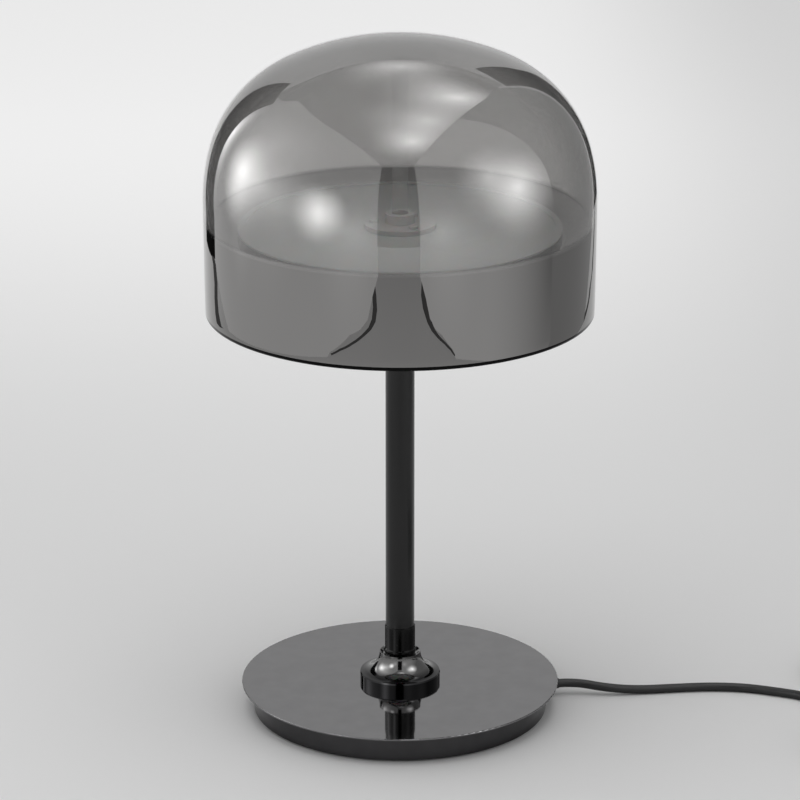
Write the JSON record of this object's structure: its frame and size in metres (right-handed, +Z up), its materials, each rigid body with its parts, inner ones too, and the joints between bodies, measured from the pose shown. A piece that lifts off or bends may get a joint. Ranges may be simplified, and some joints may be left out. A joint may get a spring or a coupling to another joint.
{
  "type": "table lamp",
  "caption": "Mushroom table lamp: smoked glass dome over a flat lit disc, slim black stem, round polished base, mains lead with in-line rocker switch and plug.",
  "frame": {"origin": "on the floor under the foot ring, on the lamp's axis", "axes": "+Z up along the stem, +X towards the side where the mains lead leaves the base, +Y to the back"},
  "size_m": [0.4744, 0.2682, 0.4313],
  "materials": {
    "black_lead": "satin black PVC sheath",
    "black_moulding": "satin black moulded plastic with a fine spark finish",
    "black_nickel": "mirror-polished black nickel plating",
    "black_rubber": "matte black rubber",
    "brass": "plain brass",
    "bright_nickel": "bright nickel plating",
    "cast_iron": "raw casting with a black dip coat",
    "chip_yellow": "phosphor yellow gel",
    "circuit_board": "green laminate with moulded parts",
    "clear_acrylic": "clear polished acrylic",
    "clear_silicone": "translucent soft silicone",
    "driver_white": "white moulded plastic",
    "foam_tape": "grey foam tape",
    "opal_acrylic": "satin opal acrylic",
    "sleeve_black": "gloss black",
    "smoked_glass": "polished dark grey smoked glass with a fire-polished rim",
    "stem_black": "gloss black",
    "white_moulding": "white moulded plastic",
    "zinc_steel": "zinc-plated steel"
  },
  "bodies": {
    "root": {"base_bottom_plate": "zinc_steel", "base_drum": "black_nickel", "base_nipple": "zinc_steel", "base_top_plate": "black_nickel", "base_weight": "cast_iron", "bottom_plate_screws": "zinc_steel", "coil_tie": "black_rubber", "collar_gasket": "black_rubber", "crown_cup": "clear_acrylic", "crown_pad": "clear_silicone", "crown_post": "clear_acrylic", "disc_bezel": "black_nickel", "disc_rim": "black_nickel", "driver_board": "circuit_board", "driver_case": "driver_white", "driver_lid": "driver_white", "driver_tape": "foam_tape", "foot_bush": "brass", "foot_ring": "black_rubber", "head_bush": "brass", "hub_cap": "clear_acrylic", "hub_flange": "black_nickel", "hub_nipple": "zinc_steel", "hub_screws": "bright_nickel", "inner_mains_lead": "black_lead", "lead_clamp": "white_moulding", "lead_clamp_screws": "zinc_steel", "lead_coil": "black_lead", "lead_link": "black_lead", "lead_run": "black_lead", "lead_tail": "black_lead", "led_chips": "chip_yellow", "led_strip": "white_moulding", "light_guide": "clear_acrylic", "low_voltage_lead": "black_lead", "lower_diffuser": "opal_acrylic", "nipple_nut": "zinc_steel", "nipple_washer": "zinc_steel", "plug_body": "black_moulding", "plug_pin_sleeves": "black_moulding", "plug_pins": "bright_nickel", "plug_relief": "black_rubber", "ribbon_lead": "white_moulding", "stem_collar": "black_nickel", "stem_sleeve": "sleeve_black", "stem_tube": "stem_black", "strain_relief": "black_rubber", "switch_contacts": "brass", "switch_lower_shell": "black_moulding", "switch_screws": "zinc_steel", "switch_upper_shell": "black_moulding", "upper_diffuser": "opal_acrylic"},
    "shade": {"glass_shade": "smoked_glass"},
    "rocker": {"switch_rocker": "black_moulding"}
  },
  "joints": [
    {"name": "shade_lift", "type": "slide", "parent": "root", "child": "shade", "axis": [0, 0, 1], "range_m": [0, 0.18]},
    {"name": "switch_rocker", "type": "hinge", "parent": "root", "child": "rocker", "pos_m": [0.274, -0.069, 0.013], "axis": [1, 0, 0], "range_deg": [-14, 0]}
  ]
}
